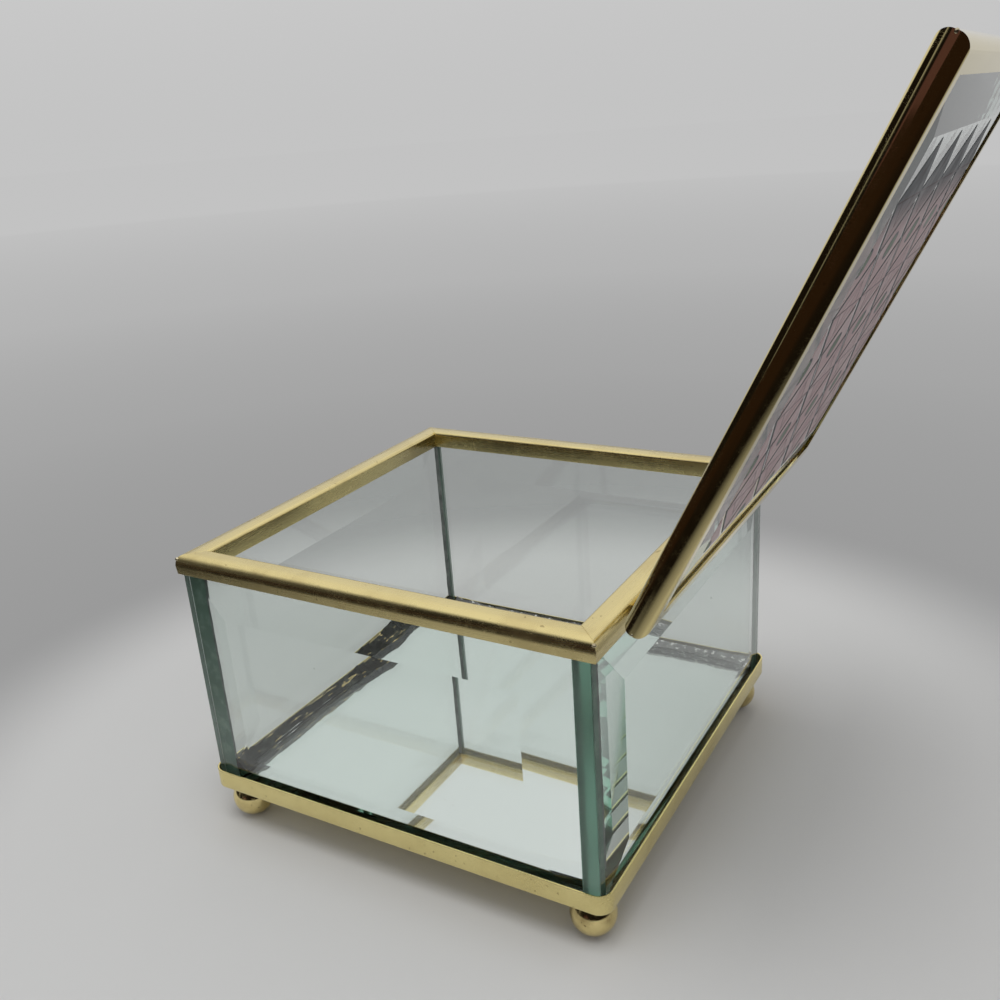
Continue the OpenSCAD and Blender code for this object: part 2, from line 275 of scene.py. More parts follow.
def buildLights():
    lamp = bpy.data.lights.new("softKey", "AREA")
    lamp.shape = "DISK"
    lamp.size = studio["keySize"]
    lamp.energy = studio["keyPower"]
    key = bpy.data.objects.new("softKey", lamp)
    key.location = middle + Vector(studio["keyPlace"])
    aim = middle - key.location
    key.rotation_mode = "QUATERNION"
    key.rotation_quaternion = aim.to_track_quat("-Z", "Y")
    key.visible_camera = False
    key.visible_glossy = False
    key.visible_transmission = False
    scene.collection.objects.link(key)


buildWorld()
buildFloor()
buildLights()
print("studio ready")


# shared surface effects, as node groups

def buildBrushed():
    group, takes, gives = startGroup("brushedLines", [
        ("Vector", "Vector", None), ("Stretch", "Vector", (12.0, 900.0, 900.0)), ("Detail", "Float", 3.0)],
        [("Line", "Float"), ("Fine", "Float")])
    place = addNode(group, "Mapping", {"Vector": takes["Vector"], "Scale": takes["Stretch"]}).outputs[0]
    coarse = noiseNode(group, place, 1.0, takes["Detail"])
    fine = noiseNode(group, place, 3.7, 2.0)
    group.links.new(rangeNode(group, coarse, 0.3, 0.7, curve="LINEAR"), gives["Line"])
    group.links.new(rangeNode(group, fine, 0.35, 0.65, curve="LINEAR"), gives["Fine"])
    return group


def buildTarnish():
    group, takes, gives = startGroup("tarnish", [
        ("Vector", "Vector", None), ("Scale", "Float", 70.0), ("Spots", "Float", 900.0)],
        [("Cloud", "Float"), ("Spot", "Float")])
    cloud = noiseNode(group, takes["Vector"], takes["Scale"], 6.0, 0.62)
    spot = noiseNode(group, takes["Vector"], takes["Spots"], 1.5)
    group.links.new(rangeNode(group, cloud, 0.42, 0.68), gives["Cloud"])
    group.links.new(rangeNode(group, spot, 0.70, 0.76), gives["Spot"])
    return group


def buildScratches():
    group, takes, gives = startGroup("scratches", [("Vector", "Vector", None), ("Scale", "Float", 160.0)],
                                     [("Scratch", "Float")])
    total = None
    for turn, stretch in ((0.0, 9.0), (1.1, 14.0), (2.3, 11.0)):
        place = addNode(group, "Mapping", {
            "Vector": takes["Vector"], "Rotation": (turn, turn * 0.7, turn * 1.3),
            "Scale": (1.0, stretch, stretch)}).outputs[0]
        cell = noiseNode(group, place, takes["Scale"], 1.0)
        thin = rangeNode(group, mathNode(group, "ABSOLUTE", mathNode(group, "SUBTRACT", cell, 0.5)),
                         0.004, 0.012, 1.0, 0.0)
        gate = noiseNode(group, place, 31.0, 0.0)
        thin = mathNode(group, "MULTIPLY", thin, rangeNode(group, gate, 0.56, 0.64))
        total = thin if total is None else mathNode(group, "MAXIMUM", total, thin)
    group.links.new(total, gives["Scratch"])
    return group


def buildSpecks():
    group, takes, gives = startGroup("specks", [
        ("Vector", "Vector", None), ("Scale", "Float", 260.0), ("Size", "Float", 0.13),
        ("Share", "Float", 0.6)], [("Speck", "Float"), ("Smear", "Float")])
    shaken = addNode(group, "TexNoise", {"Vector": takes["Vector"], "Scale": 900.0, "Detail": 1.0}).outputs[1]
    shaken = vectorNode(group, "MULTIPLY", shaken, (0.004,) * 3)
    shaken = vectorNode(group, "ADD", takes["Vector"], shaken)
    cell = addNode(group, "TexVoronoi", {"Vector": shaken, "Scale": takes["Scale"]})
    size = mathNode(group, "MULTIPLY", takes["Size"],
                    addNode(group, "SeparateColor", {0: cell.outputs["Color"]}).outputs[1])
    dot = mathNode(group, "LESS_THAN", cell.outputs["Distance"], size)
    patch = noiseNode(group, takes["Vector"], 42.0, 6.0, 0.7)
    keep = mathNode(group, "GREATER_THAN", patch, takes["Share"])
    group.links.new(mathNode(group, "MULTIPLY", dot, keep), gives["Speck"])
    smear = noiseNode(group, takes["Vector"], 38.0, 5.0, twist=1.4)
    group.links.new(rangeNode(group, smear, 0.55, 0.8), gives["Smear"])
    return group


brushedLines = buildBrushed()
tarnish = buildTarnish()
scratches = buildScratches()
specks = buildSpecks()


# finishes

def startMaterial(name):
    material = bpy.data.materials.new(name)
    material.use_nodes = True
    tree = material.node_tree
    shader = tree.nodes["Principled BSDF"]
    place = addNode(tree, "TexCoord").outputs["Object"]
    return material, tree, shader, place


def bumpInto(tree, shader, height, strength, depth):
    bump = addNode(tree, "Bump", {"Height": height, "Strength": strength, "Distance": depth})
    tree.links.new(bump.outputs[0], shader.inputs["Normal"])


brassLook = {
    "bright": (0.80, 0.675, 0.325, 1),
    "dull": (0.60, 0.475, 0.215, 1),
    "spot": (0.20, 0.13, 0.05, 1),
    "stain": 0.45,
    "spots": 0.5,
    "roughness": (0.12, 0.28),
    "lineDepth": 0.010 * mm,
    "waveDepth": 0.022 * mm,
}
trayBrassLook = dict(brassLook, bright=(0.86, 0.74, 0.34, 1), dull=(0.66, 0.54, 0.23, 1),
                     roughness=(0.18, 0.32))
rimBrassLook = dict(brassLook, roughness=(0.22, 0.38), waveDepth=0.016 * mm)
footBrassLook = dict(brassLook, bright=(0.86, 0.72, 0.34, 1), dull=(0.24, 0.16, 0.06, 1), stain=0.85,
                     spots=0.9, roughness=(0.04, 0.24), waveDepth=0.12 * mm)
lidBrassLook = dict(brassLook, stain=0.10, spots=0.25, roughness=(0.05, 0.11), lineDepth=0.003 * mm)
# darker copy of the brass for the tray's inside: its rougher finish is the sheet's own, its darker colour is
# painted shade on the inner walls and floor
shadedInnerBrassLook = dict(brassLook, bright=(0.42, 0.33, 0.15, 1), dull=(0.20, 0.15, 0.07, 1), stain=0.8,
                      roughness=(0.42, 0.62))


def brassMaterial(name, stretch, look):
    material, tree, shader, place = startMaterial(name)
    lines = useGroup(tree, brushedLines, Vector=place, Stretch=stretch)
    stain = useGroup(tree, tarnish, Vector=place)
    scratch = useGroup(tree, scratches, Vector=place)["Scratch"]
    color = mathNode(tree, "MULTIPLY", stain["Cloud"], look["stain"])
    color = mixColor(tree, color, look["bright"], look["dull"])
    color = mixColor(tree, mathNode(tree, "MULTIPLY", lines["Line"], 0.12), color, look["dull"])
    color = mixColor(tree, mathNode(tree, "MULTIPLY", stain["Spot"], look["spots"]), color, look["spot"])
    shader.inputs["Metallic"].default_value = 1.0
    tree.links.new(color, shader.inputs["Base Color"])
    rough = mathNode(tree, "ADD", mathNode(tree, "MULTIPLY", stain["Cloud"], look["stain"]),
                     mathNode(tree, "MULTIPLY", lines["Fine"], 0.35))
    rough = mathNode(tree, "ADD", rough, mathNode(tree, "MULTIPLY", scratch, 0.3))
    rough = rangeNode(tree, rough, 0.0, 1.0, *look["roughness"], curve="LINEAR")
    tree.links.new(rough, shader.inputs["Roughness"])
    wave = noiseNode(tree, place, 85.0, 1.0)
    height = mathNode(tree, "ADD", mathNode(tree, "MULTIPLY", lines["Line"], look["lineDepth"]),
                      mathNode(tree, "MULTIPLY", wave, look["waveDepth"]))
    height = mathNode(tree, "SUBTRACT", height, mathNode(tree, "MULTIPLY", scratch, look["lineDepth"]))
    bumpInto(tree, shader, height, 0.6, 1.0)
    return material


solderLook = {"bright": (0.82, 0.74, 0.52, 1), "dull": (0.42, 0.36, 0.24, 1), "roughness": (0.16, 0.42)}


def solderMaterial():
    material, tree, shader, place = startMaterial("solderFinish")
    stain = useGroup(tree, tarnish, Vector=place, Scale=420.0, Spots=1500.0)
    color = mixColor(tree, stain["Cloud"], solderLook["bright"], solderLook["dull"])
    tree.links.new(color, shader.inputs["Base Color"])
    shader.inputs["Metallic"].default_value = 1.0
    rough = rangeNode(tree, stain["Cloud"], 0.0, 1.0, *solderLook["roughness"], curve="LINEAR")
    tree.links.new(rough, shader.inputs["Roughness"])
    lump = noiseNode(tree, place, 900.0, 2.0)
    bumpInto(tree, shader, mathNode(tree, "MULTIPLY", lump, 0.05 * mm), 0.8, 1.0)
    return material


glassLook = {
    "clear": (0.955, 0.962, 0.957, 1),
    "speck": (0.05, 0.05, 0.045, 1),
    "ground": (0.86, 0.93, 0.90, 1),
    "green": (0.083, 0.617, 0.40, 1),
    "density": 11.0,
    "ior": 1.52,
    "groundRoughness": 0.42,
    "speckRoughness": 0.4,
    "smear": 0.05,
}


def glassMaterial(name, share):
    material, tree, shader, place = startMaterial(name)
    mark = useGroup(tree, specks, Vector=place, Share=share)
    ground = addNode(tree, "Attribute", attribute_name="ground").outputs["Fac"]
    color = mixColor(tree, ground, glassLook["clear"], glassLook["ground"])
    tree.links.new(mixColor(tree, mark["Speck"], color, glassLook["speck"]), shader.inputs["Base Color"])
    shader.inputs["Metallic"].default_value = 0.0
    shader.inputs["Transmission Weight"].default_value = 1.0
    shader.inputs["IOR"].default_value = glassLook["ior"]
    rough = mathNode(tree, "MULTIPLY", mark["Smear"], glassLook["smear"])
    speckRough = mathNode(tree, "MULTIPLY", mark["Speck"], glassLook["speckRoughness"])
    rough = mathNode(tree, "ADD", rough, speckRough)
    rough = mathNode(tree, "MAXIMUM", rough, mathNode(tree, "MULTIPLY", ground, glassLook["groundRoughness"]))
    tree.links.new(rough, shader.inputs["Roughness"])
    swell = noiseNode(tree, place, 24.0, 0.0)
    grit = noiseNode(tree, place, 2600.0, 2.0)
    height = mathNode(tree, "ADD", mathNode(tree, "MULTIPLY", swell, 0.03 * mm),
                      mathNode(tree, "MULTIPLY", mathNode(tree, "MULTIPLY", grit, ground), 0.02 * mm))
    bumpInto(tree, shader, height, 0.5, 1.0)
    depth = addNode(tree, "VolumeAbsorption", {"Color": glassLook["green"], "Density": glassLook["density"]})
    tree.links.new(depth.outputs[0], tree.nodes["Material Output"].inputs["Volume"])
    return material


mirrorLow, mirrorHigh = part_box("mirror_plate")
mirrorLook = {
    "silver": (0.90, 0.905, 0.90, 1),
    "black": (0.055, 0.052, 0.046, 1),
    "half": (mirrorHigh.x - mirrorLow.x) / 2,
    "creep": 0.5 * mm,
    "grow": 0.28 * mm,
    "wornCorner": (0.0445, 0.0445, 0),
    "wornReach": 7.0 * mm,
}


def mirrorMaterial():
    material, tree, shader, place = startMaterial("silveredBack")
    away = vectorNode(tree, "SUBTRACT", place, middle)
    parts = addNode(tree, "SeparateXYZ", {0: away}).outputs
    reach = mathNode(tree, "ABSOLUTE", parts["X"])
    reach = mathNode(tree, "MAXIMUM", reach, mathNode(tree, "ABSOLUTE", parts["Y"]))
    inward = mathNode(tree, "SUBTRACT", mirrorLook["half"], reach)
    ragged = noiseNode(tree, place, 420.0, 5.0)
    creep = mathNode(tree, "SUBTRACT", inward, mathNode(tree, "MULTIPLY", ragged, mirrorLook["creep"]))
    corner = measureNode(tree, "DISTANCE", away, mirrorLook["wornCorner"])
    corner = mathNode(tree, "SUBTRACT", corner, mathNode(tree, "MULTIPLY", ragged, mirrorLook["wornReach"]))
    black = mathNode(tree, "MAXIMUM", rangeNode(tree, creep, -0.2 * mm, 0.1 * mm, 1.0, 0.0),
                     rangeNode(tree, corner, 0.2 * mm, 1.2 * mm, 0.9, 0.0))
    mark = useGroup(tree, specks, Vector=place, Scale=330.0, Share=0.64)
    black = mathNode(tree, "MAXIMUM", black, mathNode(tree, "MULTIPLY", mark["Speck"], 0.7))
    color = mixColor(tree, black, mirrorLook["silver"], mirrorLook["black"])
    tree.links.new(color, shader.inputs["Base Color"])
    shader.inputs["Metallic"].default_value = 1.0
    tree.links.new(rangeNode(tree, black, 0, 1, 0.015, 0.6, curve="LINEAR"), shader.inputs["Roughness"])
    return material


glueLook = {
    "dark": {"base": (0.010, 0.010, 0.007, 1), "light": (0.070, 0.076, 0.060, 1),
             "fleck": (0.66, 0.54, 0.27, 1), "flecks": 0.60, "roughness": 0.22, "shine": 0.12},
    "grey": {"base": (0.16, 0.16, 0.155, 1), "light": (0.36, 0.36, 0.35, 1), "fleck": (0.90, 0.90, 0.88, 1),
             "flecks": 0.60, "roughness": 0.38, "shine": 0.5},
    "seam": {"base": (0.19, 0.21, 0.20, 1), "light": (0.34, 0.37, 0.35, 1), "fleck": (0.6, 0.62, 0.6, 1),
             "flecks": 0.72, "roughness": 0.34, "shine": 0.5},
    "butt": {"base": (0.17, 0.27, 0.215, 1), "light": (0.30, 0.42, 0.35, 1), "fleck": (0.42, 0.55, 0.48, 1),
             "flecks": 0.72, "roughness": 0.5, "shine": 0.3},
}


def glueMaterial(name, look, stretch):
    material, tree, shader, place = startMaterial(name)
    cloud = noiseNode(tree, place, 240.0, 6.0, 0.7)
    color = mixColor(tree, rangeNode(tree, cloud, 0.45, 0.72), look["base"], look["light"])
    stretched = addNode(tree, "Mapping", {"Vector": place, "Scale": stretch}).outputs[0]
    fleck = noiseNode(tree, stretched, 1.0, 3.0)
    fleck = rangeNode(tree, fleck, look["flecks"], look["flecks"] + 0.03)
    tree.links.new(mixColor(tree, fleck, color, look["fleck"]), shader.inputs["Base Color"])
    tree.links.new(mathNode(tree, "MULTIPLY", fleck, 0.8), shader.inputs["Metallic"])
    shader.inputs["Specular IOR Level"].default_value = look["shine"]
    tree.links.new(rangeNode(tree, cloud, 0.3, 0.8, look["roughness"] * 0.6, look["roughness"] * 1.5),
                   shader.inputs["Roughness"])
    bumpInto(tree, shader, mathNode(tree, "MULTIPLY", cloud, 0.25 * mm), 0.8, 1.0)
    return material


boardLook = {"dark": (0.16, 0.11, 0.07, 1), "pale": (0.30, 0.22, 0.14, 1)}


def boardMaterial():
    material, tree, shader, place = startMaterial("pressedBoard")
    fibre = noiseNode(tree, place, 700.0, 6.0, 0.7)
    color = mixColor(tree, rangeNode(tree, fibre, 0.3, 0.7), boardLook["dark"], boardLook["pale"])
    tree.links.new(color, shader.inputs["Base Color"])
    tree.links.new(rangeNode(tree, fibre, 0.3, 0.7, 0.7, 0.95), shader.inputs["Roughness"])
    bumpInto(tree, shader, mathNode(tree, "MULTIPLY", fibre, 0.1 * mm), 0.7, 1.0)
    return material


printLook = {
    "thick": 0.05 * mm,
    "cells": 4.0,
    "pink": (0.50, 0.33, 0.34, 1),
    "palePink": (0.62, 0.50, 0.50, 1),
    "line": (0.085, 0.045, 0.055, 1),
    "grey": (0.10, 0.11, 0.12, 1),
    "green": (0.20, 0.25, 0.19, 1),
    # shares of a cell: the lozenge, and each line's middle and half width
    "lozenge": 0.47,
    "outline": (0.49, 0.022),
    "rib": (0.26, 0.009),
    "cross": 0.008,
    "bud": 0.11,
    "hoop": (0.12, 0.014),
    "petal": 0.42,
    # shares of the print's length from its free end
    "bare": 0.125,
    "greyEnd": (0.10, 0.24),
}


def printMaterial():
    material, tree, shader, place = startMaterial("latticePrint")
    look = printLook
    sheet = addNode(tree, "UVMap", uv_map="UVMap").outputs[0]
    grid = vectorNode(tree, "MULTIPLY", sheet, (look["cells"],) * 3)

    def cellOf(shift):
        moved = vectorNode(tree, "ADD", grid, (shift, shift, 0))
        turned = vectorNode(tree, "FRACTION", moved)
        centred = vectorNode(tree, "SUBTRACT", turned, (0.5, 0.5, 0))
        parts = addNode(tree, "SeparateXYZ", {0: centred}).outputs
        return centred, mathNode(tree, "ABSOLUTE", parts["X"]), mathNode(tree, "ABSOLUTE", parts["Y"])

    across, down = cellOf(0.0)[1:]
    lozenge = mathNode(tree, "ADD", across, down)
    inside = mathNode(tree, "LESS_THAN", lozenge, look["lozenge"])
    outline = bandNode(tree, lozenge, *look["outline"])
    rib = bandNode(tree, lozenge, *look["rib"])
    cross = mathNode(tree, "LESS_THAN", mathNode(tree, "MINIMUM", across, down), look["cross"])
    vein = mathNode(tree, "MULTIPLY", inside, mathNode(tree, "MAXIMUM", rib, cross))
    away, across, down = cellOf(0.5)
    ring = measureNode(tree, "LENGTH", away)
    bud = mathNode(tree, "LESS_THAN", ring, look["bud"])
    hoop = bandNode(tree, ring, *look["hoop"])
    petal = mathNode(tree, "LESS_THAN", mathNode(tree, "ADD", across, down), look["petal"])
    wash = noiseNode(tree, place, 190.0, 4.0)
    color = mixColor(tree, rangeNode(tree, wash, 0.35, 0.65), look["pink"], look["palePink"])
    along = addNode(tree, "SeparateXYZ", {0: sheet}).outputs["Y"]
    greyed = rangeNode(tree, along, *look["greyEnd"], 1.0, 0.0)
    color = mixColor(tree, greyed, color, look["grey"])
    color = mixColor(tree, bud, color, look["green"])
    color = mixColor(tree, vein, color, look["line"])
    dark = mathNode(tree, "MAXIMUM", outline, hoop)
    tree.links.new(mixColor(tree, dark, color, look["grey"]), shader.inputs["Base Color"])
    shader.inputs["Specular IOR Level"].default_value = 0.2
    petal = mathNode(tree, "MULTIPLY", petal, mathNode(tree, "GREATER_THAN", along, look["bare"]))
    shown = mathNode(tree, "MAXIMUM", mathNode(tree, "MAXIMUM", inside, outline), petal)
    tree.links.new(shown, shader.inputs["Alpha"])
    tree.links.new(rangeNode(tree, wash, 0.3, 0.7, 0.35, 0.55), shader.inputs["Roughness"])
    return material


brassTray = brassMaterial("brassTray", (14.0, 1100.0, 1100.0), trayBrassLook)
brassAlongX = brassMaterial("brassAlongX", (14.0, 1100.0, 1100.0), rimBrassLook)
brassAlongY = brassMaterial("brassAlongY", (1100.0, 14.0, 1100.0), rimBrassLook)
brassBall = brassMaterial("brassBall", (500.0, 500.0, 500.0), footBrassLook)
brassLid = brassMaterial("brassLid", (1100.0, 14.0, 14.0), lidBrassLook)
brassLidAcross = brassMaterial("brassLidAcross", (14.0, 1100.0, 1100.0), lidBrassLook)
shadedBrassInside = brassMaterial("shadedBrassInside", (300.0, 300.0, 300.0), shadedInnerBrassLook)
solderFinish = solderMaterial()
paneGlass = glassMaterial("paneGlass", share=0.66)
lidGlass = glassMaterial("lidGlass", share=0.68)
plateGlass = glassMaterial("plateGlass", share=0.68)
silvered = mirrorMaterial()
darkGlue = glueMaterial("darkGlue", glueLook["dark"], (160.0, 1400.0, 1400.0))
greyGlue = glueMaterial("greyGlue", glueLook["grey"], (1500.0, 700.0, 1500.0))
seamGlue = glueMaterial("seamGlue", glueLook["seam"], (1500.0, 1500.0, 150.0))
buttGlue = glueMaterial("buttGlue", glueLook["butt"], (1700.0, 1700.0, 60.0))
pressedBoard = boardMaterial()
latticePrint = printMaterial()
print("finishes ready")


# carried-over pieces keep their shape and get their finish

def finishNode(name, material):
    mesh = nodes[name].data
    mesh.materials.clear()
    mesh.materials.append(material)


for name in ("hinge_tube", "hinge_wire"):
    finishNode(name, brassAlongX)
for name in ("lid_channel_front", "lid_channel_rear"):
    finishNode(name, brassLidAcross)
for name in ("lid_channel_left", "lid_channel_right"):
    finishNode(name, brassLid)
for name in ("foot_front_left", "foot_front_right", "foot_rear_right", "foot_rear_left"):
    finishNode(name, brassBall)
for name in ("foot_solder", "hinge_tube_solder", "hinge_wire_solder"):
    finishNode(name, solderFinish)
finishNode("lid_pane", lidGlass)
finishNode("floor_board", pressedBoard)


# new pieces

def makePiece(name, shape, material, body, standsFor=(), sharp=30):
    mesh = bpy.data.meshes.new(name)
    shape.to_mesh(mesh)
    shape.free()
    for face in mesh.polygons:
        face.use_smooth = True
    mesh.set_sharp_from_angle(angle=math.radians(sharp))
    mesh.materials.append(material)
    piece = bpy.data.objects.new(name, mesh)
    scene.collection.objects.link(piece)
    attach(piece, body)
    if standsFor:
        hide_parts(*standsFor)
    return piece


def boxShape(lo, hi):
    shape = bmesh.new()
    bmesh.ops.create_cube(shape, size=1.0)
    size = Vector(hi) - Vector(lo)
    bmesh.ops.scale(shape, vec=size, verts=shape.verts)
    bmesh.ops.translate(shape, vec=(Vector(hi) + Vector(lo)) / 2, verts=shape.verts)
    return shape


def quarterTurn(shape, turns):
    turn = Matrix.Rotation(math.radians(90 * turns), 3, "Z")
    bmesh.ops.rotate(shape, cent=(0, 0, 0), matrix=turn, verts=shape.verts)


def addLip(piece, width):
    lip = piece.modifiers.new("lip", "BEVEL")
    lip.width = width
    lip.segments = 2
    lip.limit_method = "ANGLE"
    lip.angle_limit = math.radians(60)


# the silvering reaches a hair into the mirror's glass
lo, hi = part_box("mirror_silvering")
grow = Vector((mirrorLook["grow"], mirrorLook["grow"], 0))
shape = boxShape(lo - grow, hi + grow + Vector((0, 0, overlap)))
makePiece("silver_back", shape, silvered, "box", ["mirror_silvering"])

# base tray, folded from sheet, with soft folds
trayLook = {"corner": 3.2 * mm, "fold": 0.45 * mm, "sheet": 0.38 * mm, "lip": 0.09 * mm}


def buildTray(look):
    lo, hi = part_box("base_tray")
    nearly = 0.001 * mm
    shape = boxShape(lo, hi)
    uprights = [edge for edge in shape.edges if abs((edge.verts[0].co - edge.verts[1].co).z) > 1 * mm]
    bmesh.ops.bevel(shape, geom=uprights, offset=look["corner"], offset_type="OFFSET", affect="EDGES",
                    segments=12, profile=0.5, material=-1)
    foot = [edge for edge in shape.edges if all(abs(vert.co.z - lo.z) < nearly for vert in edge.verts)]
    bmesh.ops.bevel(shape, geom=foot, offset=look["fold"], offset_type="OFFSET", affect="EDGES",
                    segments=3, profile=0.5, material=-1)
    top = [face for face in shape.faces if all(abs(vert.co.z - hi.z) < nearly for vert in face.verts)]
    bmesh.ops.delete(shape, geom=top, context="FACES")
    bmesh.ops.recalc_face_normals(shape, faces=shape.faces)
    tray = makePiece("tray", shape, brassTray, "box", ["base_tray"], sharp=40)
    # the sheet's inner side takes the darker brass, painted shade inside the tray
    tray.data.materials.append(shadedBrassInside)
    wall = tray.modifiers.new("sheet", "SOLIDIFY")
    wall.thickness = look["sheet"]
    wall.offset = -1
    wall.material_offset = 1
    addLip(tray, look["lip"])


buildTray(trayLook)

# rim channels: sheet folded over the panes, rounder on the outside, mitred at the corners
# section in millimetres, from the outer face inward and from the top down
rimLook = {
    "outer": [(0.16, -4.30), (0.02, -2.65), (0.0, -2.2), (0.09, -1.6), (0.28, -0.95), (0.64, -0.38),
              (1.2, -0.06), (2.9, 0.0), (4.75, -0.03), (5.20, -0.14), (5.42, -0.42), (5.50, -0.85),
              (5.50, -4.30)],
    "inner": [(5.12, -4.30), (5.12, -0.9), (4.9, -0.5), (4.6, -0.40), (1.35, -0.42), (0.92, -0.62),
              (0.62, -1.0), (0.44, -1.7), (0.38, -2.4), (0.48, -4.30)],
    "lip": 0.07 * mm,
}


def channelShape(look, length):
    shape = bmesh.new()
    ring = [shape.verts.new((-length / 2, y * mm, z * mm)) for y, z in look["outer"] + look["inner"]]
    section = shape.faces.new(ring)
    pulled = bmesh.ops.extrude_face_region(shape, geom=[section])["geom"]
    farEnd = [item for item in pulled if isinstance(item, bmesh.types.BMVert)]
    bmesh.ops.translate(shape, vec=(length, 0, 0), verts=farEnd)
    for side in (-1, 1):
        bmesh.ops.bisect_plane(shape, geom=shape.verts[:] + shape.edges[:] + shape.faces[:], dist=1e-7,
                               plane_co=(side * length / 2, 0, 0), plane_no=(side, 1, 0), clear_outer=True)
        bmesh.ops.edgeloop_fill(shape, edges=[edge for edge in shape.edges if edge.is_boundary])
    bmesh.ops.recalc_face_normals(shape, faces=shape.faces)
    return shape


lo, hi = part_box("rim_channel_front")
rimHalf = (hi.x - lo.x) / 2
for turn, side in enumerate(("front", "right", "rear", "left")):
    shape = channelShape(rimLook, 2 * rimHalf)
    bmesh.ops.translate(shape, vec=(0, -rimHalf, hi.z), verts=shape.verts)
    quarterTurn(shape, turn)
    bmesh.ops.translate(shape, vec=(0, lo.y + rimHalf, 0), verts=shape.verts)
    piece = makePiece("rim_" + side, shape, brassAlongX if turn % 2 == 0 else brassAlongY, "box",
                      ["rim_channel_" + side], sharp=45)
    addLip(piece, rimLook["lip"])
print("tray and rim built")

# solder lumps at the outer corners, sunk into the channels' rounded edges
lumpLook = {"rimIn": 0.46 * mm, "rimDown": 0.80 * mm, "rimRadius": 0.46 * mm, "lidIn": 0.30 * mm,
            "lidRadius": 0.36 * mm, "flat": 0.8, "uneven": 0.18, "spread": 900, "grain": 1800}


def lumpShape(places, radius):
    shape = bmesh.new()
    for place in places:
        made = bmesh.ops.create_icosphere(shape, subdivisions=3, radius=radius)["verts"]
        for vert in made:
            swell = noise.noise(place * lumpLook["spread"] + vert.co * lumpLook["grain"])
            vert.co *= 1 + lumpLook["uneven"] * swell
            vert.co.z *= lumpLook["flat"]
        bmesh.ops.translate(shape, vec=place, verts=made)
    return shape


reach = rimHalf - lumpLook["rimIn"]
rimMiddle = Vector((0, lo.y + rimHalf, hi.z - lumpLook["rimDown"]))
spots = [rimMiddle + Vector((x * reach, y * reach, 0)) for x in (-1, 1) for y in (-1, 1)]
makePiece("rim_solder_lumps", lumpShape(spots, lumpLook["rimRadius"]), solderFinish, "box",
          ["rim_solder_dots"], sharp=60)

# glass pieces with ground edges and a small arris, from the CAD's own shapes
arrisLook = {"width": 0.12 * mm, "slope": 0.97}


def groundPiece(name, node, across, material):
    shape = bmesh.new()
    shape.from_mesh(nodes[node].data)
    bmesh.ops.remove_doubles(shape, verts=shape.verts, dist=1e-6)
    bmesh.ops.dissolve_limit(shape, angle_limit=math.radians(1), verts=shape.verts, edges=shape.edges)
    shape.normal_update()
    folds = [edge for edge in shape.edges if edge.calc_face_angle(0) > math.radians(30)]
    bmesh.ops.bevel(shape, geom=folds, offset=arrisLook["width"], offset_type="OFFSET", affect="EDGES",
                    segments=1, profile=0.5, material=-1)
    shape.normal_update()
    polished = [abs(face.normal[across]) > arrisLook["slope"] for face in shape.faces]
    piece = makePiece(name, shape, material, "box", [node], sharp=1)
    mask = piece.data.attributes.new("ground", "FLOAT", "FACE")
    for value, clear in zip(mask.data, polished):
        value.value = 0.0 if clear else 1.0
    return piece


for side, across in (("front", 1), ("right", 0), ("rear", 1), ("left", 0)):
    groundPiece(side + "_wall", side + "_pane", across, paneGlass)

# the mirror's glass reaches the walls, where the CAD leaves its fitting gap
lo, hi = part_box("mirror_plate")
makePiece("mirror_glass_plate", boxShape(lo - grow, hi + grow), plateGlass, "box",
          ["mirror_plate"])
print("glass laid")

# glue beads: an uneven fillet laid into a corner
# stops along a bead: place from the box's middle, leg up the wall and leg over the floor, in millimetres
beadLook = {
    "front": {"uneven": 0.28, "seed": 3.1, "cuts": 220, "stops": [
        (-46, 2.6, 3.9), (-34, 2.4, 3.7), (-22, 2.5, 3.6), (-17, 2.8, 4.3), (-12, 2.8, 4.4), (-6, 2.5, 2.9),
        (5, 2.3, 2.0), (11, 2.2, 1.0), (30, 2.1, 0.9), (36, 2.4, 1.8), (46, 2.6, 2.6)]},
    "left": {"uneven": 0.30, "seed": 8.4, "cuts": 180, "stops": [
        (-46, 2.4, 2.0), (-30, 1.5, 1.2), (-5, 1.3, 1.2), (12, 1.6, 1.5), (30, 1.3, 1.1), (46, 1.7, 1.6)]},
    "corner": {"uneven": 0.20, "seed": 5.7, "cuts": 60, "stops": [(-100, 0.7, 0.7), (100, 0.7, 0.7)]},
}
# how fast a bead's height, width and ripples change along it, per metre, and the ripples' share
beadChange = {"tall": 310, "wide": 260, "ripple": 1300, "rippleShare": 0.35}


def legsAt(stops, place):
    for low, high in zip(stops, stops[1:]):
        if place <= high[0]:
            share = min(max((place - low[0]) / (high[0] - low[0]), 0), 1)
            share = share * share * (3 - 2 * share)
            return low[1] + (high[1] - low[1]) * share, low[2] + (high[2] - low[2]) * share
    return stops[-1][1:]


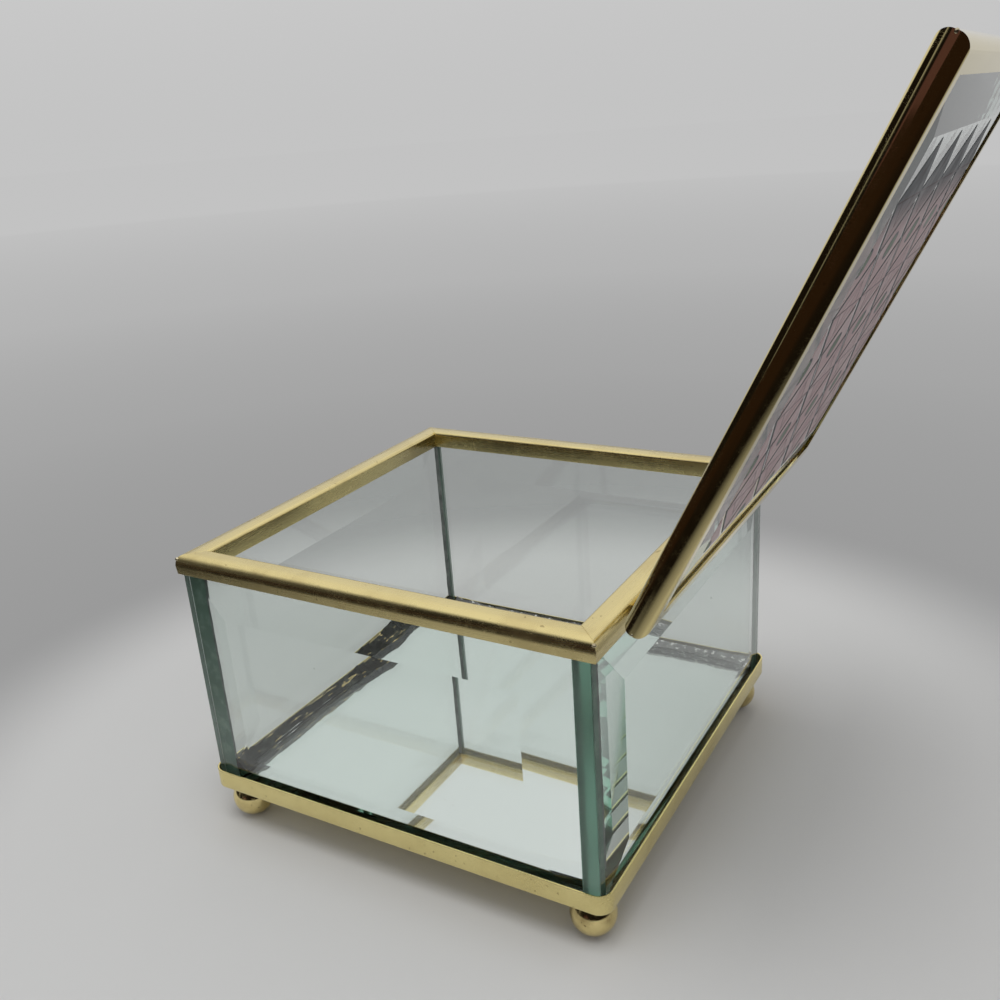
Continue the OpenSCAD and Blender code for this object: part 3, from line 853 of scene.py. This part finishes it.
def beadShape(start, end, up, out, look):
    start, end, up, out = Vector(start), Vector(end), Vector(up), Vector(out)
    run = end - start
    line = max(range(3), key=lambda axis: abs(run[axis]))
    shape = bmesh.new()
    bmesh.ops.create_cube(shape, size=1.0)
    bmesh.ops.translate(shape, vec=(0.5, 0.5, 0.5), verts=shape.verts)
    along = [edge for edge in shape.edges if abs((edge.verts[0].co - edge.verts[1].co).x) > 0.5]
    bmesh.ops.subdivide_edges(shape, edges=along, cuts=look["cuts"], use_grid_fill=True)
    around = [edge for edge in shape.edges if abs((edge.verts[0].co - edge.verts[1].co).x) < 0.001]
    bmesh.ops.subdivide_edges(shape, edges=around, cuts=3, use_grid_fill=True)
    seed = Vector((0, look["seed"], 0))
    for vert in shape.verts:
        t, u, v = vert.co
        spot = start + run * t
        legUp, legOut = legsAt(look["stops"], (spot - middle)[line] / mm)
        tall = 1 + noise.noise(seed + spot * beadChange["tall"]) * look["uneven"]
        wide = 1 + noise.noise(seed * 2 + spot * beadChange["wide"]) * look["uneven"]
        ripple = noise.noise(seed * 3 + spot * beadChange["ripple"])
        ripple = 1 + ripple * look["uneven"] * beadChange["rippleShare"]
        high = u * (1 - v / 2) * legUp * mm * tall * ripple
        deep = v * (1 - u / 2) * legOut * mm * wide * ripple
        vert.co = spot + up * (high - overlap) + out * (deep - overlap)
    bmesh.ops.recalc_face_normals(shape, faces=shape.faces)
    return shape


lo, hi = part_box("floor_bead_front")
shape = beadShape((lo.x, lo.y, lo.z), (hi.x, lo.y, lo.z), (0, 0, 1), (0, 1, 0), beadLook["front"])
makePiece("front_glue_line", shape, darkGlue, "box", ["floor_bead_front"], sharp=50)
lo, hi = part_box("floor_bead_left")
shape = beadShape((lo.x, lo.y, lo.z), (lo.x, hi.y, lo.z), (0, 0, 1), (1, 0, 0), beadLook["left"])
makePiece("left_glue_line", shape, greyGlue, "box", ["floor_bead_left"], sharp=50)

# glue that has run down between the mirror and the left pane
creptLook = {"thick": 0.25 * mm, "down": 2.7 * mm, "up": 0.3 * mm, "short": 0.3 * mm}
shape = boxShape((lo.x - overlap, lo.y + creptLook["short"], lo.z - creptLook["down"]),
                 (lo.x + creptLook["thick"], hi.y - creptLook["short"], lo.z + creptLook["up"]))
makePiece("left_glue_crept", shape, greyGlue, "box")

lo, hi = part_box("corner_beads")
for index, (x, y) in enumerate(((lo.x, lo.y), (hi.x, lo.y), (hi.x, hi.y), (lo.x, hi.y))):
    inX, inY = (1 if x < middle.x else -1), (1 if y < middle.y else -1)
    look = dict(beadLook["corner"], seed=beadLook["corner"]["seed"] + index)
    shape = beadShape((x, y, lo.z), (x, y, hi.z), (inX, 0, 0), (0, inY, 0), look)
    makePiece("corner_glue_%d" % (index + 1), shape, seamGlue, "box",
              ["corner_beads"] if index == 0 else (), sharp=50)

# the leaf of glue between each pane's butt end and its neighbour's inner face, a hair into both
leafLook = {"from": 45.30 * mm, "reach": 4.34 * mm, "seam": 0.05 * mm, "short": 0.1 * mm}
lo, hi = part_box("front_pane")
for index, (turn, mirrored) in enumerate(((0, False), (1, False), (1, True), (3, False))):
    wall = leafLook["from"]
    shape = boxShape((wall - leafLook["seam"] - overlap, -wall - leafLook["reach"], lo.z + leafLook["short"]),
                     (wall + overlap, -wall, hi.z - leafLook["short"]))
    quarterTurn(shape, turn)
    if mirrored:
        bmesh.ops.scale(shape, vec=(-1, 1, 1), verts=shape.verts)
        bmesh.ops.reverse_faces(shape, faces=shape.faces)
    bmesh.ops.translate(shape, vec=middle, verts=shape.verts)
    makePiece("butt_glue_%d" % (index + 1), shape, buttGlue, "box")
print("glue laid")

# the lid's print, drawn shut and leant open with the lid
hinge = frame["joints"][0]
hingeAt = Vector(hinge["pos_m"])
openTurn = Matrix.Translation(hingeAt) @ Matrix.Rotation(math.radians(-hinge["range_deg"][1]), 4, "X") \
    @ Matrix.Translation(-hingeAt)


def shutBox(name):
    back = openTurn.inverted()
    corners = [back @ vert.co for vert in nodes[name].data.vertices]
    return (Vector([min(c[i] for c in corners) for i in range(3)]),
            Vector([max(c[i] for c in corners) for i in range(3)]))


lo, hi = shutBox("lid_solder_dots")
inset = lumpLook["lidIn"] + lumpLook["lidRadius"]
level = (lo.z + hi.z) / 2
places = [Vector((x, y, level)) for x in (lo.x + inset, hi.x - inset) for y in (lo.y + inset, hi.y - inset)]
shape = lumpShape(places, lumpLook["lidRadius"])
bmesh.ops.transform(shape, matrix=openTurn, verts=shape.verts)
makePiece("lid_solder_lumps", shape, solderFinish, "lid", ["lid_solder_dots"], sharp=60)

lo, hi = shutBox("lid_print")
shape = boxShape((lo.x, lo.y, lo.z - overlap), (hi.x, hi.y, lo.z + printLook["thick"]))
layer = shape.loops.layers.uv.new("UVMap")
for face in shape.faces:
    for loop in face.loops:
        loop[layer].uv = ((loop.vert.co.x - lo.x) / (hi.x - lo.x), (loop.vert.co.y - lo.y) / (hi.y - lo.y))
bmesh.ops.transform(shape, matrix=openTurn, verts=shape.verts)
makePiece("lid_picture", shape, latticePrint, "lid", ["lid_print"])
print("print laid")
